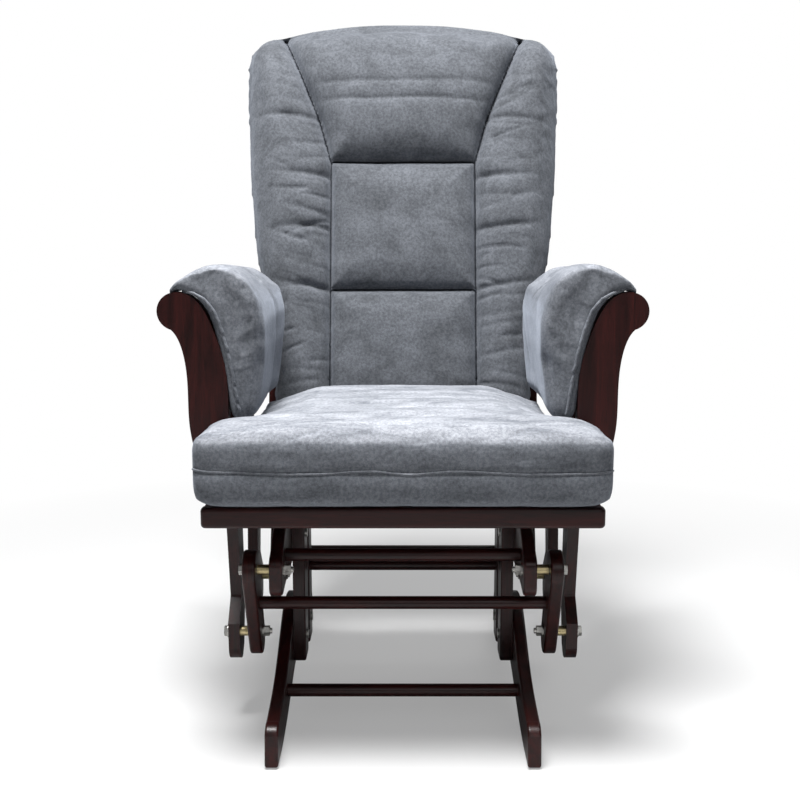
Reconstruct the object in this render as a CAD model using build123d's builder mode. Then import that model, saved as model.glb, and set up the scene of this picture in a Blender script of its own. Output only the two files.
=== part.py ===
from build123d import *
import math
import os

# Glider nursery chair. Millimetres, +Z up, front towards -Y, origin on the floor
# under the middle of the chair's box.

# Driving dimensions. Side-view places (y, z) are measured from the middle of the base.
BASE_MID_Y = -54.1  # middle of the base, in front of the origin
BOARD = 18.0  # thickness of the base boards and links
BASE_IN = 163.0  # inner face of each base side
BASE_OUT = BASE_IN + BOARD
LINK_IN = 200.0  # inner face of each swing link
LINK_OUT = LINK_IN + BOARD
HANGER_IN = 232.0  # inner face of each seat hanger
HANGER_OUT = 248.0
UPPER_PIVOT = (-182.0, 236.0)  # front pivot on the base; the rear one is its mirror
LOWER_PIVOT = (-132.0, 130.0)  # front pivot on the seat; the rear one is its mirror
BOLT_R = 4.0
RUN_GAP = 0.05  # running clearance of a bolt in its bush
FACE_GAP = 0.3  # side clearance between pieces that turn against each other
BUSH_R = 8.0
OPEN_BUSH_R = 14.0  # rear lower bush, where the linkage is left open
OPEN_BORE_R = 9.5
DOWEL_R = 9.0
GLIDE_H = 3.0
RUNNER_HALF = 300.0
SOFT_EDGE = 3.0  # rounding along the edges of the boards

RAIL_LOW = 318.0  # underside of the seat's side rails
RAIL_TOP = 345.0
RAIL_IN = 228.0
RAIL_OUT = 256.0
SEAT_FRONT = -282.0
SIDE_RAIL_FRONT = -262.0
SIDE_RAIL_BACK = 262.0
SLAT_T = 12.0
SLAT_W = 45.0
SLAT_HALF = 236.0
SLAT_PITCH = 80.0
FIRST_SLAT_Y = -215.0

ARM_BOARD_TOP = 586.0
ARM_POST_FRONT = -145.0
ARM_POST_T = 20.0
ARM_BOARD_T = 14.0

BACK_LEAN = 15.0
BACK_Y = 243.0  # front of the back frame at the height below
BACK_Z = 440.0
BACK_POST_IN = 206.0
BACK_POST_W = 40.0
BACK_POST_LOW = -112.0  # along the lean, from BACK_Z
BACK_POST_TOP = 520.0

CUSHION_LOW = RAIL_TOP + SLAT_T + 1.0
CUSHION_TOP = 448.0

os.makedirs("parts", exist_ok=True)


def side_plane(x):
    """Plane of a side view: local x runs back from the middle of the base, local y up."""
    return Plane(origin=(x, BASE_MID_Y, 0), x_dir=(0, 1, 0), z_dir=(1, 0, 0))


def front_plane(y):
    """Plane of a front view: local x to the right, local y up, facing the front."""
    return Plane(origin=(0, BASE_MID_Y + y, 0), x_dir=(1, 0, 0), z_dir=(0, -1, 0))


def back_plane(forward=0.0):
    """Leaning plane of the back frame: local x right, local y up the lean, facing front."""
    lean = math.radians(BACK_LEAN)
    normal = Vector(0, -math.cos(lean), math.sin(lean))
    start = Vector(0, BASE_MID_Y + BACK_Y, BACK_Z) + normal * forward
    return Plane(origin=start, x_dir=(1, 0, 0), z_dir=normal)


def mirrored(place):
    """The same place on the rear half."""
    return (-place[0], place[1])


def save(builder, label):
    builder.part.label = label
    export_step(builder.part, f"parts/{label}.step")


def save_pair(builder, label):
    """Saves the right-hand piece and its mirror on the left."""
    save(builder, f"{label}_right")
    with BuildPart() as twin:
        mirror(builder.part, about=Plane.YZ)
    save(twin, f"{label}_left")


def drill(places, radius, x_from, x_to):
    """Cuts holes along X at side-view places."""
    with BuildSketch(side_plane(x_from)) as holes:
        with Locations(*places):
            Circle(radius)
    extrude(holes.sketch, amount=x_to - x_from, mode=Mode.SUBTRACT)


def rod(place, radius, x_from, x_to):
    """Adds a round bar along X at a side-view place."""
    with BuildSketch(side_plane(x_from)) as section:
        with Locations(place):
            Circle(radius)
    extrude(section.sketch, amount=x_to - x_from)


def hexagon(place, radius, x_from, x_to):
    """Adds a hexagonal head or nut along X at a side-view place."""
    with BuildSketch(side_plane(x_from)) as section:
        with Locations(place):
            RegularPolygon(radius, 6)
    extrude(section.sketch, amount=x_to - x_from)


def soften(builder, axis, radius=SOFT_EDGE):
    """Rounds the outline of both broad faces of a board."""
    fillet(builder.faces().filter_by(axis).edges(), radius)


# ---- Base: two sides, each an arched runner, two uprights and a top rail ----

UPRIGHT_Y = 39.0
UPRIGHT_HALF = 25.0
UPRIGHT_LOW = 56.0
UPRIGHT_TOP = 276.0
UPRIGHT_BOLT_Z = (92.0, 250.0)
BASE_BOLT_R = 3.0
BASE_BOLTS = [(y, z) for y in (-UPRIGHT_Y, UPRIGHT_Y) for z in UPRIGHT_BOLT_Z]

with BuildPart() as runner:
    with BuildSketch(side_plane(BASE_IN)):
        with BuildLine():
            sole = Line((-RUNNER_HALF + 4, GLIDE_H), (-246, GLIDE_H))
            Spline(sole @ 1, (-120, 24), (0, 46), tangents=[(1, 0.05), (1, 0)])
            toe = Line(sole @ 0, (-292, 44))
            shoulder = RadiusArc(toe @ 1, (-270, 56), 22)
            Spline(shoulder @ 1, (-160, 78), (-60, 126), (0, 138), tangents=[(1, 0.12), (1, 0)])
            mirror(about=Plane.YZ)
        make_face()
    extrude(amount=BOARD)
    soften(runner, Axis.X)
    drill([place for place in BASE_BOLTS if place[1] == UPRIGHT_BOLT_Z[0]],
          BASE_BOLT_R, BASE_IN - 1, BASE_OUT + 1)
save_pair(runner, "base_runner")

TOP_RAIL_LOW = 205.0
TOP_RAIL_TOP = 290.0
with BuildPart() as top_rail:
    with BuildSketch(side_plane(BASE_IN)):
        with BuildLine():
            under = Line((0, TOP_RAIL_LOW + 6), (-120, TOP_RAIL_LOW + 6))
            chin = TangentArc(under @ 1, (-196, TOP_RAIL_LOW), tangent=(-1, 0))
            nose_low = ThreePointArc(chin @ 1, (-207, 208), (-212, 219))
            nose = Line(nose_low @ 1, (-212, 246))
            brow = ThreePointArc(nose @ 1, (-209, 255), (-201, 260))
            Spline(brow @ 1, (-160, 282), (-100, TOP_RAIL_TOP), (0, TOP_RAIL_TOP),
                   tangents=[(1, 0.3), (1, 0)])
            mirror(about=Plane.YZ)
        make_face()
    extrude(amount=BOARD)
    soften(top_rail, Axis.X)
    drill([UPPER_PIVOT, mirrored(UPPER_PIVOT)], BOLT_R, BASE_IN - 1, BASE_OUT + 1)
    drill([place for place in BASE_BOLTS if place[1] == UPRIGHT_BOLT_Z[1]],
          BASE_BOLT_R, BASE_IN - 1, BASE_OUT + 1)
save_pair(top_rail, "base_top_rail")

for end, y in (("front", -UPRIGHT_Y), ("rear", UPRIGHT_Y)):
    with BuildPart() as upright:
        with BuildSketch(side_plane(BASE_IN - BOARD)):
            with Locations((y, (UPRIGHT_LOW + UPRIGHT_TOP) / 2)):
                RectangleRounded(2 * UPRIGHT_HALF, UPRIGHT_TOP - UPRIGHT_LOW, 8)
        extrude(amount=BOARD)
        fillet(upright.faces().sort_by(Axis.X)[0].edges(), SOFT_EDGE)
        drill([(y, z) for z in UPRIGHT_BOLT_Z], BASE_BOLT_R, BASE_IN - BOARD - 1, BASE_IN + 1)
    save_pair(upright, f"base_upright_{end}")

with BuildPart() as base_bolts:
    for place in BASE_BOLTS:
        rod(place, BASE_BOLT_R, BASE_IN - BOARD, BASE_OUT - 2)
        rod(place, 7, BASE_IN - BOARD - 2.5, BASE_IN - BOARD)
    mirror(about=Plane.YZ)
save(base_bolts, "base_upright_bolts")

# The rear lower stretcher ties the rear uprights, the others the base sides.
STRETCHERS = {
    "front_upper": ((-158, 250), BASE_IN),
    "rear_upper": ((158, 250), BASE_IN),
    "front_lower": ((-154, 50), BASE_IN),
    "rear_lower": ((UPRIGHT_Y, 176), BASE_IN - BOARD),
}
for label, (place, reach) in STRETCHERS.items():
    with BuildPart() as stretcher:
        rod(place, DOWEL_R, -reach, reach)
    save(stretcher, f"base_stretcher_{label}")

with BuildPart() as floor_glides:
    with BuildSketch(Plane.XY):
        for y in (-RUNNER_HALF + 28, RUNNER_HALF - 28):
            with Locations((BASE_IN + BOARD / 2, BASE_MID_Y + y)):
                Circle(7)
        mirror(about=Plane.YZ)
    extrude(amount=GLIDE_H)
save(floor_glides, "floor_glides")

# ---- Pivots on the base: bolt, spacer and nut at each of the four upper pivots ----

for end, pivot in (("front", UPPER_PIVOT), ("rear", mirrored(UPPER_PIVOT))):
    with BuildPart() as upper_bolts:
        rod(pivot, BOLT_R, BASE_IN - 13, LINK_OUT + FACE_GAP)
        rod(pivot, 9.5, LINK_OUT + FACE_GAP, LINK_OUT + 1.8)
        hexagon(pivot, 7.5, LINK_OUT + 1.8, LINK_OUT + 7)
        mirror(about=Plane.YZ)
    save(upper_bolts, f"upper_pivot_bolts_{end}")

with BuildPart() as upper_spacers:
    for pivot in (UPPER_PIVOT, mirrored(UPPER_PIVOT)):
        rod(pivot, 7, BASE_OUT, LINK_IN - FACE_GAP)
        rod(pivot, 10, BASE_OUT, BASE_OUT + 1.6)
        drill([pivot], BOLT_R, BASE_OUT - 1, LINK_IN + 1)
    mirror(about=Plane.YZ)
save(upper_spacers, "upper_pivot_spacers")

with BuildPart() as upper_nuts:
    for pivot in (UPPER_PIVOT, mirrored(UPPER_PIVOT)):
        rod(pivot, 9.5, BASE_IN - 1.6, BASE_IN)
        hexagon(pivot, 7.5, BASE_IN - 9.5, BASE_IN - 1.6)
        drill([pivot], BOLT_R, BASE_IN - 12, BASE_IN + 1)
    mirror(about=Plane.YZ)
save(upper_nuts, "upper_pivot_nuts")

# ---- Swing links: each pair is tied by a dowel and turns on the upper pivots ----

LINK_TOP_R = 27.0
LINK_END_R = 22.0
LINK_TAIL = 14.0  # how far the lower end runs on past its pivot
run = (LOWER_PIVOT[0] - UPPER_PIVOT[0], LOWER_PIVOT[1] - UPPER_PIVOT[1])
link_length = math.hypot(*run)
link_way = (run[0] / link_length, run[1] / link_length)
LINK_END = (LOWER_PIVOT[0] + LINK_TAIL * link_way[0], LOWER_PIVOT[1] + LINK_TAIL * link_way[1])
FRONT_DOWEL_SHARE = 0.53  # places of the dowels along the links, from the upper pivot
REAR_DOWEL_SHARE = 0.66

for end, flip, lower_r, bore_r, share in (
    ("front", lambda place: place, BUSH_R, BOLT_R + RUN_GAP, FRONT_DOWEL_SHARE),
    ("rear", mirrored, OPEN_BUSH_R, OPEN_BORE_R, REAR_DOWEL_SHARE),
):
    upper, lower = flip(UPPER_PIVOT), flip(LOWER_PIVOT)
    dowel_place = (UPPER_PIVOT[0] + share * run[0], UPPER_PIVOT[1] + share * run[1])
    with BuildPart() as link:
        with BuildSketch(side_plane(LINK_IN)):
            with Locations(upper):
                Circle(LINK_TOP_R)
            with Locations(flip(LINK_END)):
                Circle(LINK_END_R)
            make_hull()
        extrude(amount=BOARD)
        soften(link, Axis.X)
        drill([upper], BUSH_R, LINK_IN - 1, LINK_OUT + 1)
        drill([lower], lower_r, LINK_IN - 1, LINK_OUT + 1)
    save_pair(link, f"swing_link_{end}")

    with BuildPart() as bushes:
        rod(upper, BUSH_R, LINK_IN, LINK_OUT)
        rod(lower, lower_r, LINK_IN, LINK_OUT)
        drill([upper], BOLT_R + RUN_GAP, LINK_IN - 1, LINK_OUT + 1)
        drill([lower], bore_r, LINK_IN - 1, LINK_OUT + 1)
        mirror(about=Plane.YZ)
    save(bushes, f"link_bushes_{end}")

    with BuildPart() as link_dowel:
        rod(flip(dowel_place), DOWEL_R, -LINK_IN, LINK_IN)
    save(link_dowel, f"link_dowel_{end}")

# ---- Seat hangers and the lower pivots ----

for end, flip in (("front", 1), ("rear", -1)):
    pivot = (flip * LOWER_PIVOT[0], LOWER_PIVOT[1])
    with BuildPart() as hanger:
        with BuildSketch(side_plane(HANGER_IN)):
            with BuildLine():
                head = Line((flip * -90, RAIL_LOW), (flip * -142, RAIL_LOW))
                shin = Line(head @ 1, (flip * -112, 176))
                step = Line(shin @ 1, (flip * -143, 144))
                toe = Line(step @ 1, (flip * -141, 106))
                heel = ThreePointArc(toe @ 1, (flip * -129, 89), (flip * -110, 86))
                calf = Line(heel @ 1, (flip * -96, 98))
                Line(calf @ 1, (flip * -76, 170))
                Line((flip * -76, 170), head @ 0)
            make_face()
        extrude(amount=HANGER_OUT - HANGER_IN)
        fillet(hanger.edges().filter_by(Axis.X).group_by(Axis.Z)[-2], 6)
        drill([pivot], BOLT_R, HANGER_IN - 1, HANGER_OUT + 1)
    save_pair(hanger, f"seat_hanger_{end}")

    with BuildPart() as lower_bolts:
        rod(pivot, BOLT_R, LINK_IN - 13, HANGER_OUT)
        rod(pivot, 9.5, HANGER_OUT, HANGER_OUT + 1.6)
        hexagon(pivot, 7.5, HANGER_OUT + 1.6, HANGER_OUT + 6.5)
        mirror(about=Plane.YZ)
    save(lower_bolts, f"lower_pivot_bolts_{end}")

WASHER_R = 17.0  # the washers at the open rear pivot cover its wide bush
with BuildPart() as lower_spacers:
    for pivot, flange in ((LOWER_PIVOT, 9.5), (mirrored(LOWER_PIVOT), WASHER_R)):
        rod(pivot, 7, LINK_OUT + FACE_GAP, HANGER_IN)
        rod(pivot, flange, LINK_OUT + FACE_GAP, LINK_OUT + 2)
        drill([pivot], BOLT_R, LINK_OUT, HANGER_IN + 1)
    mirror(about=Plane.YZ)
save(lower_spacers, "lower_pivot_spacers")

with BuildPart() as lower_nuts:
    for pivot, flange in ((LOWER_PIVOT, 9.5), (mirrored(LOWER_PIVOT), WASHER_R)):
        rod(pivot, flange, LINK_IN - 1.9, LINK_IN - FACE_GAP)
        hexagon(pivot, 7.5, LINK_IN - 9.8, LINK_IN - 1.9)
        drill([pivot], BOLT_R, LINK_IN - 12, LINK_IN)
    mirror(about=Plane.YZ)
save(lower_nuts, "lower_pivot_nuts")

# ---- Seat frame ----

with BuildPart() as front_rail:
    with BuildSketch(Plane.XY.offset(320)):
        with Locations((0, BASE_MID_Y + (SEAT_FRONT + SIDE_RAIL_FRONT) / 2)):
            RectangleRounded(2 * 259, SIDE_RAIL_FRONT - SEAT_FRONT, 7)
    extrude(amount=27)
    fillet(front_rail.faces().filter_by(Axis.Z).edges(), 5)
save(front_rail, "seat_front_rail")

BACK_BOLT_Y = (222.0, 244.0)
BACK_BOLT_Z = 331.0
with BuildPart() as side_rail:
    with BuildSketch(side_plane(RAIL_IN)):
        with Locations(((SIDE_RAIL_FRONT + SIDE_RAIL_BACK) / 2, (RAIL_LOW + RAIL_TOP) / 2)):
            Rectangle(SIDE_RAIL_BACK - SIDE_RAIL_FRONT, RAIL_TOP - RAIL_LOW)
    extrude(amount=RAIL_OUT - RAIL_IN)
    drill([(y, BACK_BOLT_Z) for y in BACK_BOLT_Y], BASE_BOLT_R, RAIL_IN - 1, RAIL_OUT + 1)
save_pair(side_rail, "seat_side_rail")

with BuildPart() as rear_rail:
    with BuildSketch(side_plane(-RAIL_IN)):
        with Locations((191, 332)):
            Rectangle(22, 26)
    extrude(amount=2 * RAIL_IN)
save(rear_rail, "seat_rear_rail")

SEAT_SLATS = 5
with BuildPart() as seat_slats:
    with BuildSketch(Plane.XY.offset(RAIL_TOP)):
        for number in range(SEAT_SLATS):
            with Locations((0, BASE_MID_Y + FIRST_SLAT_Y + number * SLAT_PITCH)):
                RectangleRounded(2 * SLAT_HALF, SLAT_W, 4)
    extrude(amount=SLAT_T)
    fillet(seat_slats.faces().group_by(Axis.Z)[-1].edges(), SOFT_EDGE)
save(seat_slats, "seat_slats")

# ---- Arms ----

with BuildPart() as arm_post:
    with BuildSketch(front_plane(ARM_POST_FRONT + ARM_POST_T)):
        with BuildLine():
            Polyline((RAIL_OUT, RAIL_TOP), (RAIL_OUT, RAIL_LOW + 4), (272, RAIL_LOW + 4))
            outer = Spline((272, RAIL_LOW + 4), (294, 430), (297, 510), (316, 562),
                           tangents=[(0.15, 1), (0.75, 0.66)])
            scroll = ThreePointArc(outer @ 1, (334, 592), (309, 613))
            inner = Spline(scroll @ 1, (279, 600), (258, 560), (240, 470), (236, 410),
                           (243, RAIL_TOP), tangents=[(-1, 0), (0.3, -1)])
            Line(inner @ 1, (RAIL_OUT, RAIL_TOP))
        make_face()
    extrude(amount=ARM_POST_T)
save_pair(arm_post, "arm_front_post")

ARM_IN = 276.0
ARM_OUT = 326.0
ARM_BACK = 205.0
with BuildPart() as arm_board:
    with BuildSketch(Plane.XY.offset(ARM_BOARD_TOP - ARM_BOARD_T)):
        with Locations(((ARM_IN + ARM_OUT) / 2,
                        BASE_MID_Y + (ARM_POST_FRONT + ARM_POST_T + ARM_BACK) / 2)):
            Rectangle(ARM_OUT - ARM_IN, ARM_BACK - ARM_POST_FRONT - ARM_POST_T)
    extrude(amount=ARM_BOARD_T)
    fillet(arm_board.edges().filter_by(Axis.Z).group_by(Axis.Y)[-1], 14)
save_pair(arm_board, "arm_board")

with BuildPart() as rear_arm_post:
    with BuildSketch(front_plane(198)):
        with BuildLine():
            foot = Polyline((243, RAIL_TOP), (RAIL_OUT, RAIL_TOP), (RAIL_OUT, RAIL_LOW + 4),
                            (272, RAIL_LOW + 4))
            rise = Line(foot @ 1, (314, ARM_BOARD_TOP - ARM_BOARD_T))
            top = Line(rise @ 1, (278, ARM_BOARD_TOP - ARM_BOARD_T))
            Line(top @ 1, foot @ 0)
        make_face()
    extrude(amount=BOARD)
save_pair(rear_arm_post, "arm_rear_post")

SPINDLE_R = 7.0
SPINDLE_FOOT_X = 248.0
SPINDLE_TOP_X = 292.0
with BuildPart() as arm_spindles:
    for y in (-60, 15, 90):
        with BuildSketch(Plane.XY.offset(RAIL_TOP)):
            with Locations((SPINDLE_FOOT_X, BASE_MID_Y + y)):
                Circle(SPINDLE_R)
        with BuildSketch(Plane.XY.offset(ARM_BOARD_TOP - ARM_BOARD_T)):
            with Locations((SPINDLE_TOP_X, BASE_MID_Y + y)):
                Circle(SPINDLE_R)
        loft()
save_pair(arm_spindles, "arm_spindles")

# ---- Back frame ----

POST_LENGTH = BACK_POST_TOP - BACK_POST_LOW
with BuildPart() as back_post:
    with BuildSketch(back_plane()):
        with Locations((BACK_POST_IN + 11, BACK_POST_LOW + POST_LENGTH / 2)):
            Rectangle(22, POST_LENGTH)
    extrude(amount=-BACK_POST_W)
    fillet(back_post.edges().filter_by(Axis.X).group_by(Axis.Z)[-1], 12)
    drill([(y, BACK_BOLT_Z) for y in BACK_BOLT_Y], BASE_BOLT_R, BACK_POST_IN + 6, RAIL_IN + 1)
save_pair(back_post, "back_post")

with BuildPart() as back_bolts:
    for y in BACK_BOLT_Y:
        rod((y, BACK_BOLT_Z), BASE_BOLT_R, BACK_POST_IN + 6, RAIL_OUT)
        rod((y, BACK_BOLT_Z), 6.5, RAIL_OUT, RAIL_OUT + 2.5)
    mirror(about=Plane.YZ)
save(back_bolts, "back_post_bolts")

BACK_RAIL_T = 22.0
LOWER_RAIL = (40.0, 80.0)  # along the lean
with BuildPart() as back_lower_rail:
    with BuildSketch(back_plane(-4)):
        with Locations((0, sum(LOWER_RAIL) / 2)):
            Rectangle(2 * BACK_POST_IN, LOWER_RAIL[1] - LOWER_RAIL[0])
    extrude(amount=-BACK_RAIL_T)
save(back_lower_rail, "back_lower_rail")

CREST_LOW = 430.0
with BuildPart() as back_crest_rail:
    with BuildSketch(back_plane(-4)):
        with BuildLine():
            sides = Polyline((-BACK_POST_IN, 500), (-BACK_POST_IN, CREST_LOW),
                             (BACK_POST_IN, CREST_LOW), (BACK_POST_IN, 500))
            ThreePointArc(sides @ 0, (0, 530), sides @ 1)
        make_face()
    extrude(amount=-BACK_RAIL_T)
save(back_crest_rail, "back_crest_rail")

BACK_SLATS = 4
BACK_SLAT_PITCH = 84.0
with BuildPart() as back_slats:
    with BuildSketch(back_plane(-9)):
        for number in range(BACK_SLATS):
            across = (number - (BACK_SLATS - 1) / 2) * BACK_SLAT_PITCH
            with Locations((across, (LOWER_RAIL[1] + CREST_LOW) / 2)):
                Rectangle(42, CREST_LOW - LOWER_RAIL[1])
    extrude(amount=-SLAT_T)
save(back_slats, "back_slats")

# ---- Cushions: plain closed solids of the size and place of the soft parts ----

EAR_HALF = 268.0
SEAT_HALF = 197.0
EAR_BACK = -152.0
CUSHION_FRONT = -308.0
CUSHION_BACK = 127.0
with BuildPart() as seat_cushion:
    with BuildSketch(Plane.XY.offset(CUSHION_LOW)):
        with Locations((0, BASE_MID_Y + (CUSHION_FRONT + EAR_BACK) / 2)):
            RectangleRounded(2 * EAR_HALF, EAR_BACK - CUSHION_FRONT, 28)
        with Locations((0, BASE_MID_Y + (CUSHION_BACK + EAR_BACK - 60) / 2)):
            RectangleRounded(2 * SEAT_HALF, CUSHION_BACK - EAR_BACK + 60, 20)
    extrude(amount=CUSHION_TOP - CUSHION_LOW)
    fillet(seat_cushion.faces().filter_by(Axis.Z).edges(), 14)
save(seat_cushion, "seat_cushion")

BACK_CUSHION_T = 96.0
with BuildPart() as back_cushion:
    with BuildSketch(back_plane(1)):
        with BuildLine():
            foot = Line((0, -72), (185, -72))
            heel = RadiusArc(foot @ 1, (198, -58), -14)
            flank = Line(heel @ 1, (198, 190))
            flare = Spline(flank @ 1, (240, 262), (258, 380), tangents=[(0.2, 1), (0.05, 1)])
            wing = Line(flare @ 1, (258, 520))
            shoulder = ThreePointArc(wing @ 1, (245, 552), (208, 572))
            Spline(shoulder @ 1, (120, 588), (0, 592), tangents=[(-1, 0.3), (-1, 0)])
            mirror(about=Plane.YZ)
        make_face()
    extrude(amount=BACK_CUSHION_T)
save(back_cushion, "back_cushion")

PAD_FRONT = ARM_POST_FRONT - 3
PAD_BACK = 156.0
with BuildPart() as arm_pad:
    with BuildSketch(front_plane(PAD_BACK)):
        with BuildLine():
            lining = Spline((325, 620), (304, 620), (272, 606), (251, 565), (233, 473),
                            (229, 446), tangents=[(-1, 0.05), (0, -1)])
            hem = ThreePointArc(lining @ 1, (215, 436), (201, 446))
            Spline(hem @ 1, (190, 575), (222, 642), (272, 653), (312, 641), (325, 620),
                   tangents=[(0, 1), (0.1, -1)])
        make_face()
    extrude(amount=PAD_BACK - PAD_FRONT)
save_pair(arm_pad, "arm_pad")
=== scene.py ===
import math
import random

import bmesh
import bpy
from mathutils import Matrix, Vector, noise


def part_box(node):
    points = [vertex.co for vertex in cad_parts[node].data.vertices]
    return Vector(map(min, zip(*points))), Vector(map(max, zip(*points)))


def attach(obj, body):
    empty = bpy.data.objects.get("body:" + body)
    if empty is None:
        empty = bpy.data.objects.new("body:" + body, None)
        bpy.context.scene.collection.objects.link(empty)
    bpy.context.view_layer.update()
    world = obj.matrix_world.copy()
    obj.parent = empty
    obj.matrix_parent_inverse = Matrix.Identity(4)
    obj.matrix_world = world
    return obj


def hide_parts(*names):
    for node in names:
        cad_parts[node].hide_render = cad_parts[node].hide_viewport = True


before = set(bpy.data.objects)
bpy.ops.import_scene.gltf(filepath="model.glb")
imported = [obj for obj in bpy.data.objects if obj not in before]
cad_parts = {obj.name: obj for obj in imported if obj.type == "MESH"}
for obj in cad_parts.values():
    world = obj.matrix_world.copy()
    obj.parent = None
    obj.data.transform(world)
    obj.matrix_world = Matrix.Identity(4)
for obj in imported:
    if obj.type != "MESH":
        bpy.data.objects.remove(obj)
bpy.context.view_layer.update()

# ---------------------------------------------------------------- materials


def new_material(name):
    mat = bpy.data.materials.new(name)
    mat.use_nodes = True
    nodes = mat.node_tree.nodes
    links = mat.node_tree.links
    nodes.clear()
    out = nodes.new("ShaderNodeOutputMaterial")
    bsdf = nodes.new("ShaderNodeBsdfPrincipled")
    links.new(bsdf.outputs["BSDF"], out.inputs["Surface"])
    return mat, nodes, links, bsdf


def ramp(nodes, stops):
    node = nodes.new("ShaderNodeValToRGB")
    elements = node.color_ramp.elements
    elements[0].position, elements[0].color = stops[0]
    elements[1].position, elements[1].color = stops[-1]
    for position, color in stops[1:-1]:
        elements.new(position).color = color
    return node


def rgb(r, g, b):
    return (r, g, b, 1.0)


def noise_node(nodes, links, vector, scale, detail=4.0, rough=0.55, distortion=0.0):
    node = nodes.new("ShaderNodeTexNoise")
    node.inputs["Scale"].default_value = scale
    node.inputs["Detail"].default_value = detail
    node.inputs["Roughness"].default_value = rough
    node.inputs["Distortion"].default_value = distortion
    links.new(vector, node.inputs["Vector"])
    return node


def mapped(nodes, links, scale, rotation=(0, 0, 0)):
    coord = nodes.new("ShaderNodeTexCoord")
    mapping = nodes.new("ShaderNodeMapping")
    mapping.inputs["Scale"].default_value = scale
    mapping.inputs["Rotation"].default_value = rotation
    links.new(coord.outputs["Object"], mapping.inputs["Vector"])
    return mapping.outputs["Vector"]


def bump(nodes, links, bsdf, layers):
    """Chains bump nodes: each layer is (height socket, strength, distance)."""
    normal = None
    for height, strength, distance in layers:
        node = nodes.new("ShaderNodeBump")
        node.inputs["Strength"].default_value = strength
        node.inputs["Distance"].default_value = distance
        links.new(height, node.inputs["Height"])
        if normal is not None:
            links.new(normal, node.inputs["Normal"])
        normal = node.outputs["Normal"]
    links.new(normal, bsdf.inputs["Normal"])


def mix_color(nodes, links, factor, a, b, mode="MIX"):
    node = nodes.new("ShaderNodeMix")
    node.data_type = "RGBA"
    node.blend_type = mode
    if isinstance(factor, float):
        node.inputs["Factor"].default_value = factor
    else:
        links.new(factor, node.inputs["Factor"])
    for socket, value in ((node.inputs[6], a), (node.inputs[7], b)):
        if isinstance(value, tuple):
            socket.default_value = value
        else:
            links.new(value, socket)
    return node.outputs[2]


def suede(name, dark, light, streak=(22, 60, 22), top=None):
    """Brushed microfibre: cloudy nap marks, fine fibre and a painted sheen: a paler base colour on faces
    turned up, for the light from above.
    """
    mat, nodes, links, bsdf = new_material(name)
    plain = mapped(nodes, links, (1, 1, 1))
    stretched = mapped(nodes, links, streak)
    cloud = noise_node(nodes, links, plain, 13.0, 6.0, 0.62, 0.4)
    nap = noise_node(nodes, links, stretched, 1.0, 7.0, 0.66, 0.7)
    fibre = noise_node(nodes, links, plain, 900.0, 2.0, 0.6)
    weave = noise_node(nodes, links, plain, 240.0, 3.0, 0.6)
    cloud_color = ramp(nodes, [(0.24, dark), (0.78, light)])
    links.new(cloud.outputs["Fac"], cloud_color.inputs["Fac"])
    nap_color = ramp(nodes, [(0.35, dark), (0.5, tuple((d + l) / 2 for d, l in zip(dark, light))),
                             (0.68, light)])
    links.new(nap.outputs["Fac"], nap_color.inputs["Fac"])
    color = mix_color(nodes, links, 0.55, cloud_color.outputs["Color"], nap_color.outputs["Color"])
    # Painted sheen: faces turned up get a lighter base colour, streaked by the nap, standing in for the
    # light falling from above.
    if top:
        geometry = nodes.new("ShaderNodeNewGeometry")
        split = nodes.new("ShaderNodeSeparateXYZ")
        painted_sheen_mask = nodes.new("ShaderNodeMapRange")
        painted_sheen_mask.inputs["From Min"].default_value = 0.45
        painted_sheen_mask.inputs["From Max"].default_value = 0.98
        links.new(geometry.outputs["Normal"], split.inputs["Vector"])
        links.new(split.outputs["Z"], painted_sheen_mask.inputs["Value"])
        pale = ramp(nodes, [(0.34, light), (0.62, top)])
        links.new(nap.outputs["Fac"], pale.inputs["Fac"])
        color = mix_color(nodes, links, painted_sheen_mask.outputs["Result"], color, pale.outputs["Color"])
    speck = ramp(nodes, [(0.3, rgb(0.62, 0.62, 0.62)), (0.7, rgb(1.0, 1.0, 1.0))])
    links.new(fibre.outputs["Fac"], speck.inputs["Fac"])
    color = mix_color(nodes, links, 0.8, color, speck.outputs["Color"], "MULTIPLY")
    tuft = ramp(nodes, [(0.36, rgb(0.60, 0.60, 0.61)), (0.62, rgb(1.0, 1.0, 1.0))])
    links.new(weave.outputs["Fac"], tuft.inputs["Fac"])
    color = mix_color(nodes, links, 0.85, color, tuft.outputs["Color"], "MULTIPLY")
    links.new(color, bsdf.inputs["Base Color"])
    bsdf.inputs["Roughness"].default_value = 0.93
    bsdf.inputs["Specular IOR Level"].default_value = 0.15
    bsdf.inputs["Sheen Weight"].default_value = 0.35
    bsdf.inputs["Sheen Roughness"].default_value = 0.45
    bsdf.inputs["Sheen Tint"].default_value = rgb(0.75, 0.82, 0.95)
    bump(nodes, links, bsdf, [
        (nap.outputs["Fac"], 0.25, 0.004),
        (weave.outputs["Fac"], 0.18, 0.0008),
        (fibre.outputs["Fac"], 0.15, 0.0003),
    ])
    return mat


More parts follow.
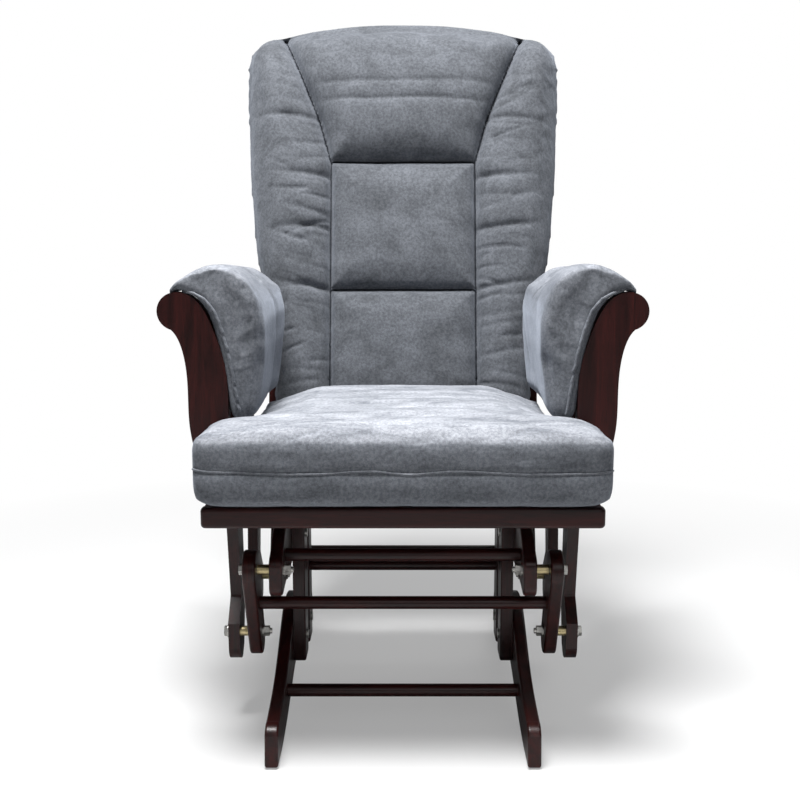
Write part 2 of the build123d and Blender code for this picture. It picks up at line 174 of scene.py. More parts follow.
def stained_wood(name, along="Y"):
    """Dark cherry stain under satin lacquer, with the grain along one axis."""
    mat, nodes, links, bsdf = new_material(name)
    scale = {"X": (2, 26, 26), "Y": (26, 2, 26), "Z": (26, 26, 2)}[along]
    vector = mapped(nodes, links, scale)
    grain = noise_node(nodes, links, vector, 3.0, 6.0, 0.6, 0.8)
    pore = noise_node(nodes, links, vector, 22.0, 3.0, 0.7)
    color = ramp(nodes, [
        (0.30, rgb(0.0090, 0.0014, 0.0012)),
        (0.50, rgb(0.0240, 0.0027, 0.0022)),
        (0.72, rgb(0.0480, 0.0050, 0.0038)),
    ])
    links.new(grain.outputs["Fac"], color.inputs["Fac"])
    pores = ramp(nodes, [(0.34, rgb(0.45, 0.4, 0.4)), (0.46, rgb(1, 1, 1))])
    links.new(pore.outputs["Fac"], pores.inputs["Fac"])
    links.new(mix_color(nodes, links, 0.7, color.outputs["Color"], pores.outputs["Color"],
                        "MULTIPLY"), bsdf.inputs["Base Color"])
    rough = ramp(nodes, [(0.3, rgb(0.30, 0.30, 0.30)), (0.7, rgb(0.42, 0.42, 0.42))])
    links.new(grain.outputs["Fac"], rough.inputs["Fac"])
    links.new(rough.outputs["Color"], bsdf.inputs["Roughness"])
    bsdf.inputs["Specular IOR Level"].default_value = 0.28
    bsdf.inputs["Coat Weight"].default_value = 0.16
    bsdf.inputs["Coat Roughness"].default_value = 0.22
    bump(nodes, links, bsdf, [(pore.outputs["Fac"], 0.08, 0.0004),
                              (grain.outputs["Fac"], 0.05, 0.001)])
    return mat


def metal(name, color, rough):
    mat, nodes, links, bsdf = new_material(name)
    vector = mapped(nodes, links, (1, 1, 1))
    grime = noise_node(nodes, links, vector, 160.0, 4.0, 0.6)
    tone = ramp(nodes, [(0.3, tuple(c * 0.6 for c in color[:3]) + (1.0,)), (0.6, color)])
    links.new(grime.outputs["Fac"], tone.inputs["Fac"])
    links.new(tone.outputs["Color"], bsdf.inputs["Base Color"])
    spread = ramp(nodes, [(0.3, rgb(rough, rough, rough)),
                          (0.8, rgb(rough + 0.2, rough + 0.2, rough + 0.2))])
    links.new(grime.outputs["Fac"], spread.inputs["Fac"])
    links.new(spread.outputs["Color"], bsdf.inputs["Roughness"])
    bsdf.inputs["Metallic"].default_value = 1.0
    bump(nodes, links, bsdf, [(grime.outputs["Fac"], 0.1, 0.0003)])
    return mat


def plastic(name, color):
    mat, nodes, links, bsdf = new_material(name)
    vector = mapped(nodes, links, (1, 1, 1))
    grain = noise_node(nodes, links, vector, 500.0, 3.0, 0.6)
    tone = ramp(nodes, [(0.3, tuple(c * 0.85 for c in color[:3]) + (1.0,)), (0.7, color)])
    links.new(grain.outputs["Fac"], tone.inputs["Fac"])
    links.new(tone.outputs["Color"], bsdf.inputs["Base Color"])
    bsdf.inputs["Roughness"].default_value = 0.5
    bump(nodes, links, bsdf, [(grain.outputs["Fac"], 0.1, 0.0002)])
    return mat


DARK_GREY = rgb(0.092, 0.098, 0.108)
LIGHT_GREY = rgb(0.205, 0.218, 0.243)
suede_back = suede("suede_back", DARK_GREY, LIGHT_GREY)
# The seat and arm copies of the one grey fabric get lighter colours than the back: painted light, for the
# brighter light falling on them. Their last colour is the painted sheen for faces turned up.
suede_seat = suede("suede_seat", rgb(0.115, 0.123, 0.138), rgb(0.27, 0.287, 0.32), (12, 40, 30),
                   rgb(0.58, 0.60, 0.65))
suede_arm = suede("suede_arm", rgb(0.105, 0.112, 0.125), rgb(0.26, 0.275, 0.305), (52, 12, 20),
                  rgb(0.50, 0.52, 0.57))
# Near-black colour for the cords in the seams: painted shade of the deep seam valleys.
seam_shade_cord = suede("seam_painted_shade", rgb(0.012, 0.014, 0.018), rgb(0.03, 0.033, 0.04))
wood = {axis: stained_wood("wood_" + axis.lower(), axis) for axis in "XYZ"}
steel = metal("pivot_zinc", rgb(0.62, 0.61, 0.58), 0.28)
brass = metal("spacer_brass", rgb(0.72, 0.6, 0.34), 0.3)
nylon = plastic("bush_nylon", rgb(0.7, 0.68, 0.62))
black_plastic = plastic("glide_plastic", rgb(0.03, 0.03, 0.03))

GRAIN = {
    "X": ("seat_front_rail", "seat_rear_rail", "seat_slats", "stretcher", "link_dowel",
          "back_lower_rail", "back_crest_rail"),
    "Y": ("base_runner", "base_top_rail", "seat_side_rail", "arm_board"),
    "Z": ("base_upright_front", "base_upright_rear", "swing_link", "seat_hanger",
          "arm_front_post", "arm_rear_post", "arm_spindles", "back_post_left",
          "back_post_right", "back_slats"),
}


def node_material(name):
    if "spacers" in name:
        return brass
    if "bushes" in name:
        return nylon
    if "bolts" in name or "nuts" in name:
        return steel
    if name == "floor_glides":
        return black_plastic
    for axis, words in GRAIN.items():
        if any(word in name for word in words):
            return wood[axis]
    return wood["X"]


for name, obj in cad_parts.items():
    obj.data.materials.clear()
    obj.data.materials.append(node_material(name))

# ---------------------------------------------------------------- helpers


def make_object(name, bm, material, smooth=True):
    mesh = bpy.data.meshes.new(name)
    bm.to_mesh(mesh)
    bm.free()
    obj = bpy.data.objects.new(name, mesh)
    bpy.context.scene.collection.objects.link(obj)
    mesh.materials.append(material)
    if smooth:
        for poly in mesh.polygons:
            poly.use_smooth = True
    return obj


def apply_modifiers(obj):
    depsgraph = bpy.context.evaluated_depsgraph_get()
    mesh = bpy.data.meshes.new_from_object(obj.evaluated_get(depsgraph))
    old = obj.data
    obj.modifiers.clear()
    obj.data = mesh
    bpy.data.meshes.remove(old)
    for poly in mesh.polygons:
        poly.use_smooth = True


def remesh(obj, size):
    mod = obj.modifiers.new("remesh", "REMESH")
    mod.mode = "VOXEL"
    mod.voxel_size = size
    apply_modifiers(obj)


def inflate(obj, pressure, cap, shrink=0.0, frames=18):
    """Blows the cloth up from inside, then limits how far each point may move."""
    start = [v.co.copy() for v in obj.data.vertices]
    scene = bpy.context.scene
    mod = obj.modifiers.new("cloth", "CLOTH")
    settings = mod.settings
    settings.quality = 4
    settings.mass = 0.25
    settings.tension_stiffness = 18
    settings.compression_stiffness = 12
    settings.shear_stiffness = 8
    settings.bending_stiffness = 0.35
    settings.shrink_min = shrink
    settings.use_pressure = True
    settings.uniform_pressure_force = pressure
    settings.effector_weights.gravity = 0.0
    mod.collision_settings.use_collision = False
    mod.collision_settings.use_self_collision = False
    mod.point_cache.frame_start = 1
    mod.point_cache.frame_end = frames
    for number in range(1, frames + 1):
        scene.frame_set(number)
    apply_modifiers(obj)
    scene.frame_set(1)
    for vert, rest in zip(obj.data.vertices, start):
        move = vert.co - rest
        if move.length > cap:
            vert.co = rest + move * (cap / move.length)


def fit(obj, low, high, into=None, back=None):
    """Stretches the cover so that it fills its box again, in a chosen frame."""
    into = into or (lambda place: place)
    back = back or (lambda *place: Vector(place))
    spots = [into(v.co) for v in obj.data.vertices]
    least = [min(s[i] for s in spots) for i in range(3)]
    most = [max(s[i] for s in spots) for i in range(3)]
    for vert, spot in zip(obj.data.vertices, spots):
        vert.co = back(*(low[i] + (spot[i] - least[i]) * (high[i] - low[i]) / (most[i] - least[i])
                         for i in range(3)))


def smoothstep(edge0, edge1, x):
    t = min(1.0, max(0.0, (x - edge0) / (edge1 - edge0)))
    return t * t * (3 - 2 * t)


def lerp(a, b, t):
    return a + (b - a) * t


def tube(name, points, radius, material, cyclic=False):
    """A thin round cord of mesh along points, for piping and for the near-black seam cords of painted
    shade.
    """
    curve = bpy.data.curves.new(name, "CURVE")
    curve.dimensions = "3D"
    curve.bevel_depth = radius
    curve.bevel_resolution = 2
    curve.use_fill_caps = True
    spline = curve.splines.new("POLY")
    spline.points.add(len(points) - 1)
    for point, place in zip(spline.points, points):
        point.co = (*place, 1.0)
    spline.use_cyclic_u = cyclic
    source = bpy.data.objects.new(name, curve)
    bpy.context.scene.collection.objects.link(source)
    depsgraph = bpy.context.evaluated_depsgraph_get()
    mesh = bpy.data.meshes.new_from_object(source.evaluated_get(depsgraph))
    bpy.data.objects.remove(source)
    obj = bpy.data.objects.new(name, mesh)
    bpy.context.scene.collection.objects.link(obj)
    mesh.materials.clear()
    mesh.materials.append(material)
    for poly in mesh.polygons:
        poly.use_smooth = True
    return obj


def resample(places, count):
    """Even steps along a polyline through places."""
    lengths = [0.0]
    for a, b in zip(places, places[1:]):
        lengths.append(lengths[-1] + (Vector(b) - Vector(a)).length)
    result = []
    for step in range(count):
        want = lengths[-1] * step / (count - 1)
        index = max(i for i, length in enumerate(lengths[:-1]) if length <= want + 1e-9)
        span = lengths[index + 1] - lengths[index]
        t = (want - lengths[index]) / span
        result.append(Vector(places[index]).lerp(Vector(places[index + 1]), t))
    return result


def between(table, x):
    """Smooth interpolation in a short list of (x, value)."""
    if x <= table[0][0]:
        return table[0][1]
    for (x0, y0), (x1, y1) in zip(table, table[1:]):
        if x <= x1:
            return lerp(y0, y1, (x - x0) / (x1 - x0))
    return table[-1][1]


def segment_distance(px, py, a, b):
    """Distance to a segment and the place along it."""
    ax, ay = a
    dx, dy = b[0] - ax, b[1] - ay
    along = max(0.0, min(1.0, ((px - ax) * dx + (py - ay) * dy) / (dx * dx + dy * dy)))
    gap = math.hypot(px - ax - along * dx, py - ay - along * dy)
    return gap, along * math.hypot(dx, dy)


def subdivide(obj):
    mod = obj.modifiers.new("subdivision", "SUBSURF")
    mod.levels = 1
    mod.render_levels = 1
    apply_modifiers(obj)


def fold(x, y, z, seed):
    """Soft ridge noise, 0 to 1, for creases in cloth."""
    value = noise.noise(Vector((x, y, z + seed)))
    return 1.0 - min(1.0, abs(value) * 2.6)


# ---------------------------------------------------------------- back cushion

LEAN = math.radians(15)
UP = Vector((0, math.sin(LEAN), math.cos(LEAN)))
OUT = Vector((0, -math.cos(LEAN), math.sin(LEAN)))
low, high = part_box("back_cushion")
tall, deep = high[2] - low[2], high[1] - low[1]
squeeze = UP.z ** 2 - UP.y ** 2
BACK_LENGTH = (tall * UP.z - deep * UP.y) / squeeze
BACK_THICK = (deep * UP.z - tall * UP.y) / squeeze
BACK_FOOT = Vector((0, high[1] - BACK_LENGTH * UP.y, low[2]))
BACK_HALF = high[0]

# half width of the outline, as parts of the widest, at parts of the height
BACK_OUTLINE = [(0.0, 0.76), (0.02, 0.80), (0.18, 0.82), (0.30, 0.88), (0.42, 0.94),
                (0.62, 0.985), (0.80, 1.0), (0.89, 0.995), (0.925, 0.965), (0.948, 0.90),
                (0.962, 0.80), (0.978, 0.62), (0.992, 0.38), (1.0, 0.1)]
SEAM_X = 0.121
SEAM_LOW = 0.214
SEAM_MID = 0.432
SEAM_EDGE = [(SEAM_MID, SEAM_X), (0.505, 0.141), (0.580, 0.171), (0.664, 0.206)]
BACK_SEAMS = [
    ((SEAM_X, 0.0), (SEAM_X, SEAM_MID)),
    ((-SEAM_X, 0.0), (-SEAM_X, SEAM_MID)),
    ((-SEAM_X, SEAM_LOW), (SEAM_X, SEAM_LOW)),
    ((-SEAM_X, SEAM_MID), (SEAM_X, SEAM_MID)),
]
for side in (1, -1):
    for (along_a, x_a), (along_b, x_b) in zip(SEAM_EDGE, SEAM_EDGE[1:]):
        BACK_SEAMS.append(((side * x_a, along_a), (side * x_b, along_b)))


def to_back(x, along, out):
    return BACK_FOOT + Vector((x, 0, 0)) + UP * along + OUT * out


def from_back(place):
    rel = Vector(place) - BACK_FOOT
    return rel.x, rel.dot(UP), rel.dot(OUT)


def back_form():
    bm = bmesh.new()
    columns, rows = 44, 60
    sheets = []
    for face in (1, -1):
        sheet = []
        for row in range(rows + 1):
            share = 1 - (1 - row / rows) ** 1.5
            half = BACK_HALF * between(BACK_OUTLINE, share) * 0.985
            along = BACK_LENGTH * (0.006 + 0.982 * share)
            line = []
            for column in range(columns + 1):
                a = 2 * column / columns - 1
                edge = (1 - abs(a) ** 5) ** 0.5 * (1 - abs(2 * share - 1) ** 9) ** 0.5
                thick = BACK_THICK * (0.43 * edge)
                out = BACK_THICK * 0.47 + face * thick * (1.0 if face > 0 else 0.98)
                line.append(bm.verts.new(to_back(a * half, along, out)))
            sheet.append(line)
        sheets.append(sheet)
    for face, sheet in zip((1, -1), sheets):
        for row in range(rows):
            for column in range(columns):
                quad = [sheet[row][column], sheet[row][column + 1],
                        sheet[row + 1][column + 1], sheet[row + 1][column]]
                bm.faces.new(quad if face > 0 else quad[::-1])
    bmesh.ops.remove_doubles(bm, verts=bm.verts, dist=1e-5)
    bmesh.ops.recalc_face_normals(bm, faces=bm.faces)
    return make_object("back_cushion_cover", bm, suede_back)


def seam_edge(along):
    for (along_a, x_a), (along_b, x_b) in zip(SEAM_EDGE, SEAM_EDGE[1:]):
        if along_a < along <= along_b:
            return lerp(x_a, x_b, (along - along_a) / (along_b - along_a))
    return SEAM_X if along <= SEAM_MID else SEAM_EDGE[-1][1]


def make_wrinkles():
    """Pull marks: place, direction, reach, width and depth of each."""
    dice = random.Random(11)
    marks = []
    for side in (1, -1):
        for number in range(30):
            along = 0.05 + 0.57 * (number + dice.random() * 0.8) / 30
            from_seam = dice.random() < 0.6
            reach = dice.uniform(0.035, 0.095)
            start = seam_edge(along) + 0.004 if from_seam else BACK_HALF - 0.030 - reach
            tilt = dice.uniform(-0.35, 0.35)
            marks.append((side, start, along, tilt, reach, dice.uniform(0.0022, 0.0060),
                          dice.uniform(0.0012, 0.0048), dice.uniform(-0.25, 0.25)))
        for along in (SEAM_LOW, 0.315, 0.405, 0.505):
            marks.append((side, seam_edge(along), along, dice.uniform(-0.12, 0.12), 0.105,
                          0.0060, 0.0085, dice.uniform(-0.15, 0.15)))
    return marks


def wing_wrinkles(x, along):
    """Depth of the horizontal pull marks beside the long seams."""
    depth = 0.0
    side = 1 if x > 0 else -1
    for which, start, level, tilt, reach, width, deep, bend in WRINKLES:
        if which != side:
            continue
        run = (abs(x) - start) / reach
        if not -0.15 < run < 1.0:
            continue
        line = level + tilt * reach * run + bend * reach * run * run
        gap = abs(along - line)
        if gap < 4 * width:
            taper = smoothstep(-0.15, 0.12, run) * (1 - run) ** 0.7
            depth += deep * taper * math.exp(-(gap / width) ** 1.5)
    return depth


def back_relief(x, along):
    """Height of the sewn panels over the plain form, in metres."""
    height = 0.0
    pucker = 0.0
    for number, (a, b) in enumerate(BACK_SEAMS):
        gap, run = segment_distance(x, along, a, b)
        height = min(height, -0.019 * math.exp(-gap / 0.005) - 0.011 * math.exp(-(gap / 0.030) ** 2))
        wave = noise.noise(Vector((run * 34, number * 7.3, gap * 9)))
        rise = 1 if number < 4 else 1.5
        pucker += 0.0050 * rise * wave * math.exp(-gap / 0.024) * (1 - math.exp(-gap / 0.006))
    edge = seam_edge(along)
    inside = abs(x) < edge
    if inside and along > SEAM_MID:
        middle = (along - SEAM_MID) / (BACK_LENGTH - SEAM_MID)
        across = 1 - (x / edge) ** 4
        height += 0.022 * math.sin(math.pi * min(1.0, middle * 1.04)) ** 0.7 * across
        for line, depth in ((0.530, 0.0050), (0.560, 0.0042)):
            wander = line + 0.004 * noise.noise(Vector((x * 9, line * 40, 0)))
            height -= depth * math.exp(-abs(along - wander) / 0.006) * across
    elif inside:
        low_edge = 0.0 if along < SEAM_LOW else SEAM_LOW
        high_edge = SEAM_LOW if along < SEAM_LOW else SEAM_MID
        middle = (along - low_edge) / (high_edge - low_edge)
        across = 1 - (x / edge) ** 4
        height += 0.006 * math.sin(math.pi * max(0.0, middle)) ** 0.5 * across
    else:
        wing = (abs(x) - edge) / max(0.02, BACK_HALF - edge)
        height += 0.012 * math.sin(math.pi * min(1.0, wing)) ** 0.8
        height -= wing_wrinkles(x, along)
    soft = 0.0022 * noise.noise(Vector((x * 14, along * 14, 3)))
    return height + pucker + soft


WRINKLES = make_wrinkles()
back_cover = back_form()
remesh(back_cover, 0.006)
inflate(back_cover, 4.0, 0.010)
fit(back_cover, (-1.03 * BACK_HALF, 0.0, 0.0), (1.03 * BACK_HALF, BACK_LENGTH + 0.016, BACK_THICK - 0.008),
    from_back, to_back)
subdivide(back_cover)
for vert in back_cover.data.vertices:
    x, along, out = from_back(vert.co)
    facing = smoothstep(0.45, 0.62, out / BACK_THICK)
    if facing <= 0:
        continue
    vert.co += OUT * (back_relief(x, along) * facing)
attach(back_cover, "seat")
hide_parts("back_cushion")


def ray_seam(name, obj, starts, direction, radius, material, lift):
    """A sewn line laid on the cover's surface, below each start."""
    points = []
    for start in starts:
        hit, place, _normal, _index = obj.ray_cast(start, direction)
        if hit:
            points.append(place - direction * lift)
    return tube(name, points, radius, material)


# Each sewn seam gets a near-black cord in its valley: painted shade of the deep seam.
for number, (a, b) in enumerate(BACK_SEAMS):
    steps = max(16, int(math.hypot(b[0] - a[0], b[1] - a[1]) / 0.004))
    starts = []
    for step in range(steps + 1):
        t = step / steps
        along = max(0.022, lerp(a[1], b[1], t))
        starts.append(to_back(lerp(a[0], b[0], t), along, BACK_THICK + 0.08))
    seam = ray_seam(f"back_seam_{number + 1}", back_cover, starts, -OUT, 0.0019, seam_shade_cord, 0.0004)
    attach(seam, "seat")

# ---------------------------------------------------------------- seat cushion

low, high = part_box("seat_cushion")
SEAT_LOW, SEAT_HIGH = Vector(low), Vector(high)
EAR_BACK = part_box("arm_front_post_right")[0][1] - 0.006
NECK_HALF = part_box("arm_pad_right")[0][0] + 0.026
FRONT_SEAM_Z = SEAT_LOW.z + 0.040
SLAT_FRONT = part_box("seat_slats")[0][1]
SLAT_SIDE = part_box("seat_slats")[1][0]
RAIL_DROP = SEAT_LOW.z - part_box("seat_front_rail")[1][2] - 0.001


def soft_box(bm, low, high, corner, edge):
    """A closed box with round corners in plan and round edges all round."""
    centre = (Vector(low) + Vector(high)) / 2
    size = (Vector(high) - Vector(low)) / 2
    made = bmesh.ops.create_cube(bm, size=2.0)
    verts = made["verts"]
    edges = list({e for v in verts for e in v.link_edges})
    bmesh.ops.subdivide_edges(bm, edges=edges, cuts=22, use_grid_fill=True)
    corner_box = (size.x - corner, size.y - corner)
    for vert in [v for v in bm.verts if not v.tag]:
        x, y, z = vert.co.x * size.x, vert.co.y * size.y, vert.co.z * size.z
        inner_x = max(-corner_box[0], min(corner_box[0], x))
        inner_y = max(-corner_box[1], min(corner_box[1], y))
        dx, dy = x - inner_x, y - inner_y
        reach = math.hypot(dx, dy)
        if reach > corner:
            dx, dy = dx * corner / reach, dy * corner / reach
            reach = corner
        inner_z = max(-(size.z - edge), min(size.z - edge, z))
        dz = z - inner_z
        side = max(0.0, reach - (corner - edge))
        around = math.hypot(side, dz)
        if around > edge and reach > 1e-6:
            shrink = edge / around
            new_reach = (corner - edge) + side * shrink
            dx, dy = dx * new_reach / reach, dy * new_reach / reach
            dz *= shrink
        vert.co = centre + Vector((inner_x + dx, inner_y + dy, inner_z + dz))
        vert.tag = True


def seat_form():
    bm = bmesh.new()
    soft_box(bm, (-SEAT_HIGH.x + 0.004, SEAT_LOW.y + 0.004, SEAT_LOW.z + 0.001),
             (SEAT_HIGH.x - 0.004, EAR_BACK - 0.004, SEAT_HIGH.z - 0.002), 0.030, 0.017)
    soft_box(bm, (-NECK_HALF + 0.003, EAR_BACK - 0.08, SEAT_LOW.z + 0.001),
             (NECK_HALF - 0.003, SEAT_HIGH.y - 0.002, SEAT_HIGH.z - 0.002), 0.026, 0.017)
    return make_object("seat_cushion_cover", bm, suede_seat)


seat_cover = seat_form()
remesh(seat_cover, 0.006)
inflate(seat_cover, 3.5, 0.006)
fit(seat_cover, SEAT_LOW, SEAT_HIGH)
subdivide(seat_cover)
HOLLOW = 0.016  # how far the top dips beside the arm pads
seat_middle = (SEAT_LOW.y + SEAT_HIGH.y) / 2
seat_reach = (SEAT_HIGH.y - SEAT_LOW.y) / 2
for vert in seat_cover.data.vertices:
    x, y, z = vert.co
    top = smoothstep(SEAT_HIGH.z - 0.030, SEAT_HIGH.z - 0.004, z)
    front = smoothstep(SEAT_LOW.y + 0.03, SEAT_LOW.y + 0.006, y)
    if top > 0:
        across = 1 - min(1.0, abs(x) / SEAT_HIGH.x) ** 2.5
        along = 1 - min(1.0, abs(y - seat_middle) / seat_reach) ** 3
        crown = 0.013 * across * along
        hollow = HOLLOW * smoothstep(0.12, NECK_HALF - 0.022, abs(x))
        hollow *= smoothstep(EAR_BACK - 0.06, EAR_BACK + 0.08, y)
        ripple = 0.0022 * noise.noise(Vector((x * 9, y * 26, 1)))
        crease = 0.0022 * fold(x * 6, y * 22, 4.0, 0.0) ** 4
        gather = 0.004 * noise.noise(Vector((x * 28, y * 10, 6)))
        gather = gather * smoothstep(0.14, 0.2, abs(x)) * hollow / HOLLOW
        vert.co.z += top * (crown - hollow + ripple - crease + gather)
    seam_gap = abs(z - FRONT_SEAM_Z)
    if top < 0.5 and z > SEAT_LOW.z + 0.012:
        face = front if front > 0.2 else smoothstep(0.6, 0.9, abs(x) / SEAT_HIGH.x)
        dent = 0.0042 * math.exp(-seam_gap / 0.0045)
        pucker = 0.0016 * noise.noise(Vector((x * 55, y * 55, 2))) * math.exp(-seam_gap / 0.02)
        sag = 0.0014 * noise.noise(Vector((x * 16, y * 16, z * 26)))
        outward = Vector((0, -1, 0)) if front > 0.2 else Vector((math.copysign(1, x), 0, 0))
        vert.co += outward * ((sag + pucker - dent) * face)
    if z < SEAT_LOW.z + 0.03:
        over_rail = max(smoothstep(SLAT_FRONT - 0.003, SLAT_FRONT - 0.012, y),
                        smoothstep(SLAT_SIDE + 0.002, SLAT_SIDE + 0.010, abs(x)))
        vert.co.z = max(vert.co.z, SEAT_LOW.z + 0.0005)
        vert.co.z -= over_rail * RAIL_DROP * smoothstep(SEAT_LOW.z + 0.03, SEAT_LOW.z + 0.008, z)
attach(seat_cover, "seat")
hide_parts("seat_cushion")

seam_points = []
for step in range(161):
    angle = math.pi * (step / 160)
    way = Vector((-math.cos(angle), -math.sin(angle), 0))
    start = Vector((0, EAR_BACK - 0.045, FRONT_SEAM_Z + 0.002 * math.sin(step * 0.13))) + way * 0.6
    hit, place, normal, _index = seat_cover.ray_cast(start, -way)
    if hit:
        seam_points.append(place + way * 0.0004)
seam = tube("seat_cushion_piping", seam_points, 0.0017, suede_seat)
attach(seam, "seat")

# ---------------------------------------------------------------- arm pads

pad_low, pad_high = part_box("arm_pad_right")
PAD_OUT = pad_high[0]
PAD_IN = pad_low[0]
# the section of the right pad, in x and z from the inner foot of its flap
PAD_LINING = [(0.130, 0.168), (0.120, 0.1785), (0.106, 0.176), (0.090, 0.1675), (0.0775, 0.152),
              (0.069, 0.130), (0.061, 0.100), (0.0545, 0.068), (0.0495, 0.037), (0.046, 0.010)]
PAD_FACE = [(0.040, 0.002), (0.026, 0.000), (0.016, 0.003), (0.011, 0.014), (0.008, 0.050),
            (0.003, 0.095), (0.001, 0.135), (0.007, 0.168), (0.024, 0.194), (0.048, 0.208),
            (0.076, 0.211), (0.101, 0.202), (0.119, 0.189), (0.131, 0.175)]
PAD_CORE = [(0.030, 0.03), (0.033, 0.12), (0.055, 0.178), (0.115, 0.192)]
PAD_SLOPE_FROM = 0.6  # above this height, in metres, the pad's top slopes
PAD_SLOPE = 0.012  # how far the top of a pad falls towards the back


def pad_form(side):
    bm = bmesh.new()
    section = [(p[0] + PAD_IN, p[1] + pad_low[2]) for p in PAD_LINING + PAD_FACE]
    section = resample([(x, z, 0) for x, z in section + section[:1]], 97)[:-1]
    skeleton = [Vector((x + PAD_IN, z + pad_low[2], 0)) for x, z in PAD_CORE]
    rings = []
    for share, shrink in ((0.0, 0.30), (0.004, 0.55), (0.014, 0.78), (0.034, 0.93), (0.07, 0.99),
                          (0.5, 1.0), (0.93, 0.99), (0.966, 0.93), (0.986, 0.78), (0.996, 0.55),
                          (1.0, 0.30)):
        y = lerp(pad_low[1] + 0.003, pad_high[1] - 0.003, share)
        ring = []
        for point in section:
            near = min((nearest_on(point, a, b) for a, b in zip(skeleton, skeleton[1:])),
                       key=lambda q: (q - point).length)
            spot = near.lerp(point, shrink)
            ring.append(bm.verts.new((side * spot.x, y, spot.y)))
        rings.append(ring)
    count = len(section)
    for first, second in zip(rings, rings[1:]):
        for index in range(count):
            after = (index + 1) % count
            bm.faces.new((first[index], first[after], second[after], second[index]))
    bm.faces.new(rings[0])
    bm.faces.new(rings[-1])
    bmesh.ops.recalc_face_normals(bm, faces=bm.faces)
    return make_object("arm_pad_cover_right" if side > 0 else "arm_pad_cover_left", bm, suede_arm)


def nearest_on(point, a, b):
    way = b - a
    t = max(0.0, min(1.0, (point - a).dot(way) / way.length_squared))
    return a + way * t


lining = [Vector((x + PAD_IN, z + pad_low[2], 0)) for x, z in PAD_LINING]
for side in (1, -1):
    pad = pad_form(side)
    remesh(pad, 0.005)
    rest = [v.co.copy() for v in pad.data.vertices]
    inflate(pad, 4.0, 0.006)
    for vert, place in zip(pad.data.vertices, rest):
        flat = Vector((abs(place.x), place.z, 0))
        gap = min((nearest_on(flat, a, b) - flat).length for a, b in zip(lining, lining[1:]))
        vert.co = place.lerp(vert.co, smoothstep(0.006, 0.03, gap))
        share = (vert.co.y - pad_low[1]) / (pad_high[1] - pad_low[1])
        high_up = smoothstep(PAD_SLOPE_FROM, PAD_SLOPE_FROM + 0.03, vert.co.z)
        vert.co.z -= PAD_SLOPE * smoothstep(0.1, 1.0, share) * high_up
    edges = sorted((side * PAD_IN, side * (PAD_OUT - 0.006)))
    fit(pad, (edges[0], pad_low[1], pad_low[2]), (edges[1], pad_high[1], pad_high[2] - 0.004))
    subdivide(pad)
    for vert in pad.data.vertices:
        x, y, z = abs(vert.co.x), vert.co.y, vert.co.z
        flat = Vector((x, z, 0))
        gap, run = min(((nearest_on(flat, a, b) - flat).length, index)
                       for index, (a, b) in enumerate(zip(lining, lining[1:])))
        normal = vert.normal
        front = smoothstep(pad_low[1] + 0.10, pad_low[1] + 0.0, y)
        outer = smoothstep(0.006, 0.024, gap)
        gather = noise.noise(Vector((run * 1.9, side * 3.0, y * 4)))
        front *= math.exp(-gap / 0.022)
        streak = fold(x * 9 + z * 3, y * 7, side * 2.0 + z * 4, 1.0) ** 3
        swell = noise.noise(Vector((x * 13, y * 9, z * 13 + side)))
        move = outer * (0.0034 * gather * front + 0.0018 * swell - 0.0020 * streak)
        vert.co += normal * move
    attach(pad, "seat")
    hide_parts("arm_pad_right" if side > 0 else "arm_pad_left")

    hem_line = resample([(x + PAD_IN - 0.006, z + pad_low[2], 0) for x, z in PAD_LINING[1:]], 70)
    hem_points = []
    for index, point in enumerate(hem_line):
        ruffle = 0.0045 * noise.noise(Vector((index * 0.37, side * 5.0, 0)))
        start = Vector((side * (point.x - 0.004 + ruffle * 0.5), pad_low[1] - 0.05, point.y + ruffle * 0.3))
        hit, place, _normal, _index = pad.ray_cast(start, Vector((0, 1, 0)))
        if hit:
            hem_points.append(place + Vector((0, -0.001 + ruffle * 0.4, 0)))
    label = "right" if side > 0 else "left"
    hem = tube(f"arm_pad_hem_{label}", hem_points, 0.0024, suede_arm)
    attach(hem, "seat")

# ---------------------------------------------------------------- stage, light and camera

base_low = min(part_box(name)[0][1] for name in ("base_runner_left", "base_runner_right"))

bpy.ops.mesh.primitive_plane_add(size=14, location=(0, 0, 0))
floor = bpy.context.object
floor.name = "studio_floor"
floor_mat, floor_nodes, floor_links, floor_bsdf = new_material("floor_pale")
floor_bsdf.inputs["Base Color"].default_value = rgb(0.55, 0.55, 0.55)
floor_bsdf.inputs["Emission Color"].default_value = rgb(1.0, 1.0, 1.0)
seen = floor_nodes.new("ShaderNodeLightPath")
glow = floor_nodes.new("ShaderNodeMath")
glow.operation = "MULTIPLY"
glow.inputs[1].default_value = 0.30
floor_links.new(seen.outputs["Is Camera Ray"], glow.inputs[0])
floor_links.new(glow.outputs["Value"], floor_bsdf.inputs["Emission Strength"])
place = floor_nodes.new("ShaderNodeNewGeometry")
reach = floor_nodes.new("ShaderNodeVectorMath")
reach.operation = "LENGTH"
fade = floor_nodes.new("ShaderNodeMapRange")
fade.inputs["From Min"].default_value = 0.55
fade.inputs["From Max"].default_value = 1.5
far = floor_nodes.new("ShaderNodeMath")
far.operation = "MULTIPLY"
white = floor_nodes.new("ShaderNodeEmission")
white.inputs["Color"].default_value = rgb(1.0, 1.0, 1.0)
cover = floor_nodes.new("ShaderNodeMixShader")
floor_links.new(place.outputs["Position"], reach.inputs[0])
floor_links.new(reach.outputs["Value"], fade.inputs["Value"])
floor_links.new(fade.outputs["Result"], far.inputs[0])
floor_links.new(seen.outputs["Is Camera Ray"], far.inputs[1])
floor_links.new(far.outputs["Value"], cover.inputs[0])
floor_links.new(floor_bsdf.outputs["BSDF"], cover.inputs[1])
floor_links.new(white.outputs["Emission"], cover.inputs[2])
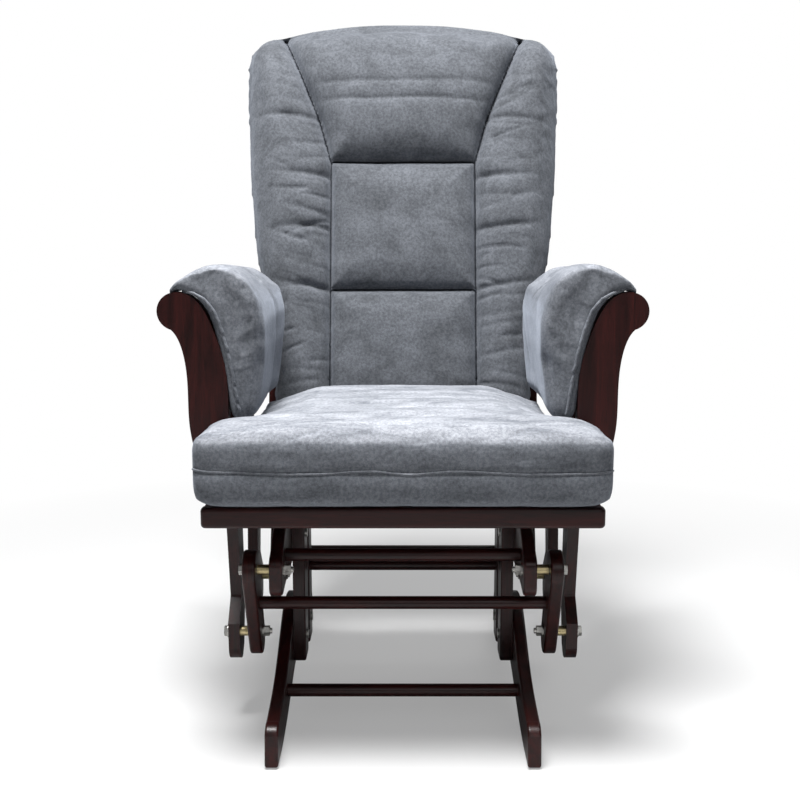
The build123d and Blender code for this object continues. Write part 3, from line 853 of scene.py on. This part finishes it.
floor_links.new(cover.outputs["Shader"], floor_nodes["Material Output"].inputs["Surface"])
floor_bsdf.inputs["Roughness"].default_value = 0.9
floor_bsdf.inputs["Specular IOR Level"].default_value = 0.1
floor.data.materials.append(floor_mat)

world = bpy.data.worlds.new("studio")
bpy.context.scene.world = world
world.use_nodes = True
sky = world.node_tree.nodes["Background"]
sky.inputs["Color"].default_value = rgb(0.95, 0.975, 1.0)
sky.inputs["Strength"].default_value = 0.17
backdrop = world.node_tree.nodes.new("ShaderNodeBackground")
backdrop.inputs["Color"].default_value = rgb(1.0, 1.0, 1.0)
backdrop.inputs["Strength"].default_value = 1.0
seen = world.node_tree.nodes.new("ShaderNodeLightPath")
blend = world.node_tree.nodes.new("ShaderNodeMixShader")
world.node_tree.links.new(seen.outputs["Is Camera Ray"], blend.inputs[0])
world.node_tree.links.new(sky.outputs["Background"], blend.inputs[1])
world.node_tree.links.new(backdrop.outputs["Background"], blend.inputs[2])
world.node_tree.links.new(blend.outputs["Shader"], world.node_tree.nodes["World Output"].inputs["Surface"])
bpy.context.scene.view_settings.view_transform = "Standard"


def area_light(name, place, aim, size, power):
    data = bpy.data.lights.new(name, "AREA")
    data.shape = "RECTANGLE"
    data.size = size[0]
    data.size_y = size[1]
    data.energy = power
    light = bpy.data.objects.new(name, data)
    light.location = place
    light.rotation_euler = (Vector(aim) - Vector(place)).to_track_quat("-Z", "Y").to_euler()
    bpy.context.scene.collection.objects.link(light)


area_light("key", (-0.25, -0.62, 2.6), (0, -0.15, 0.4), (0.9, 0.7), 105)
area_light("fill", (0.5, -3.0, 1.9), (0, 0, 0.6), (1.8, 1.2), 9)
area_light("rim", (0.9, 1.6, 2.3), (0, 0, 0.7), (1.2, 1.0), 12)

LENS_OVER_SENSOR = 1.4525
CAMERA_BACK = 1.425
CAMERA_HEIGHT = 0.712
CAMERA_PITCH = math.radians(8.89)
camera_data = bpy.data.cameras.new("camera")
camera_data.sensor_width = 36
camera_data.lens = 36 * LENS_OVER_SENSOR
camera_data.shift_x = -0.00375
camera = bpy.data.objects.new("camera", camera_data)
camera.location = (0, base_low - CAMERA_BACK, CAMERA_HEIGHT)
camera.rotation_euler = (math.pi / 2 - CAMERA_PITCH, 0, 0)
bpy.context.scene.collection.objects.link(camera)
bpy.context.scene.camera = camera
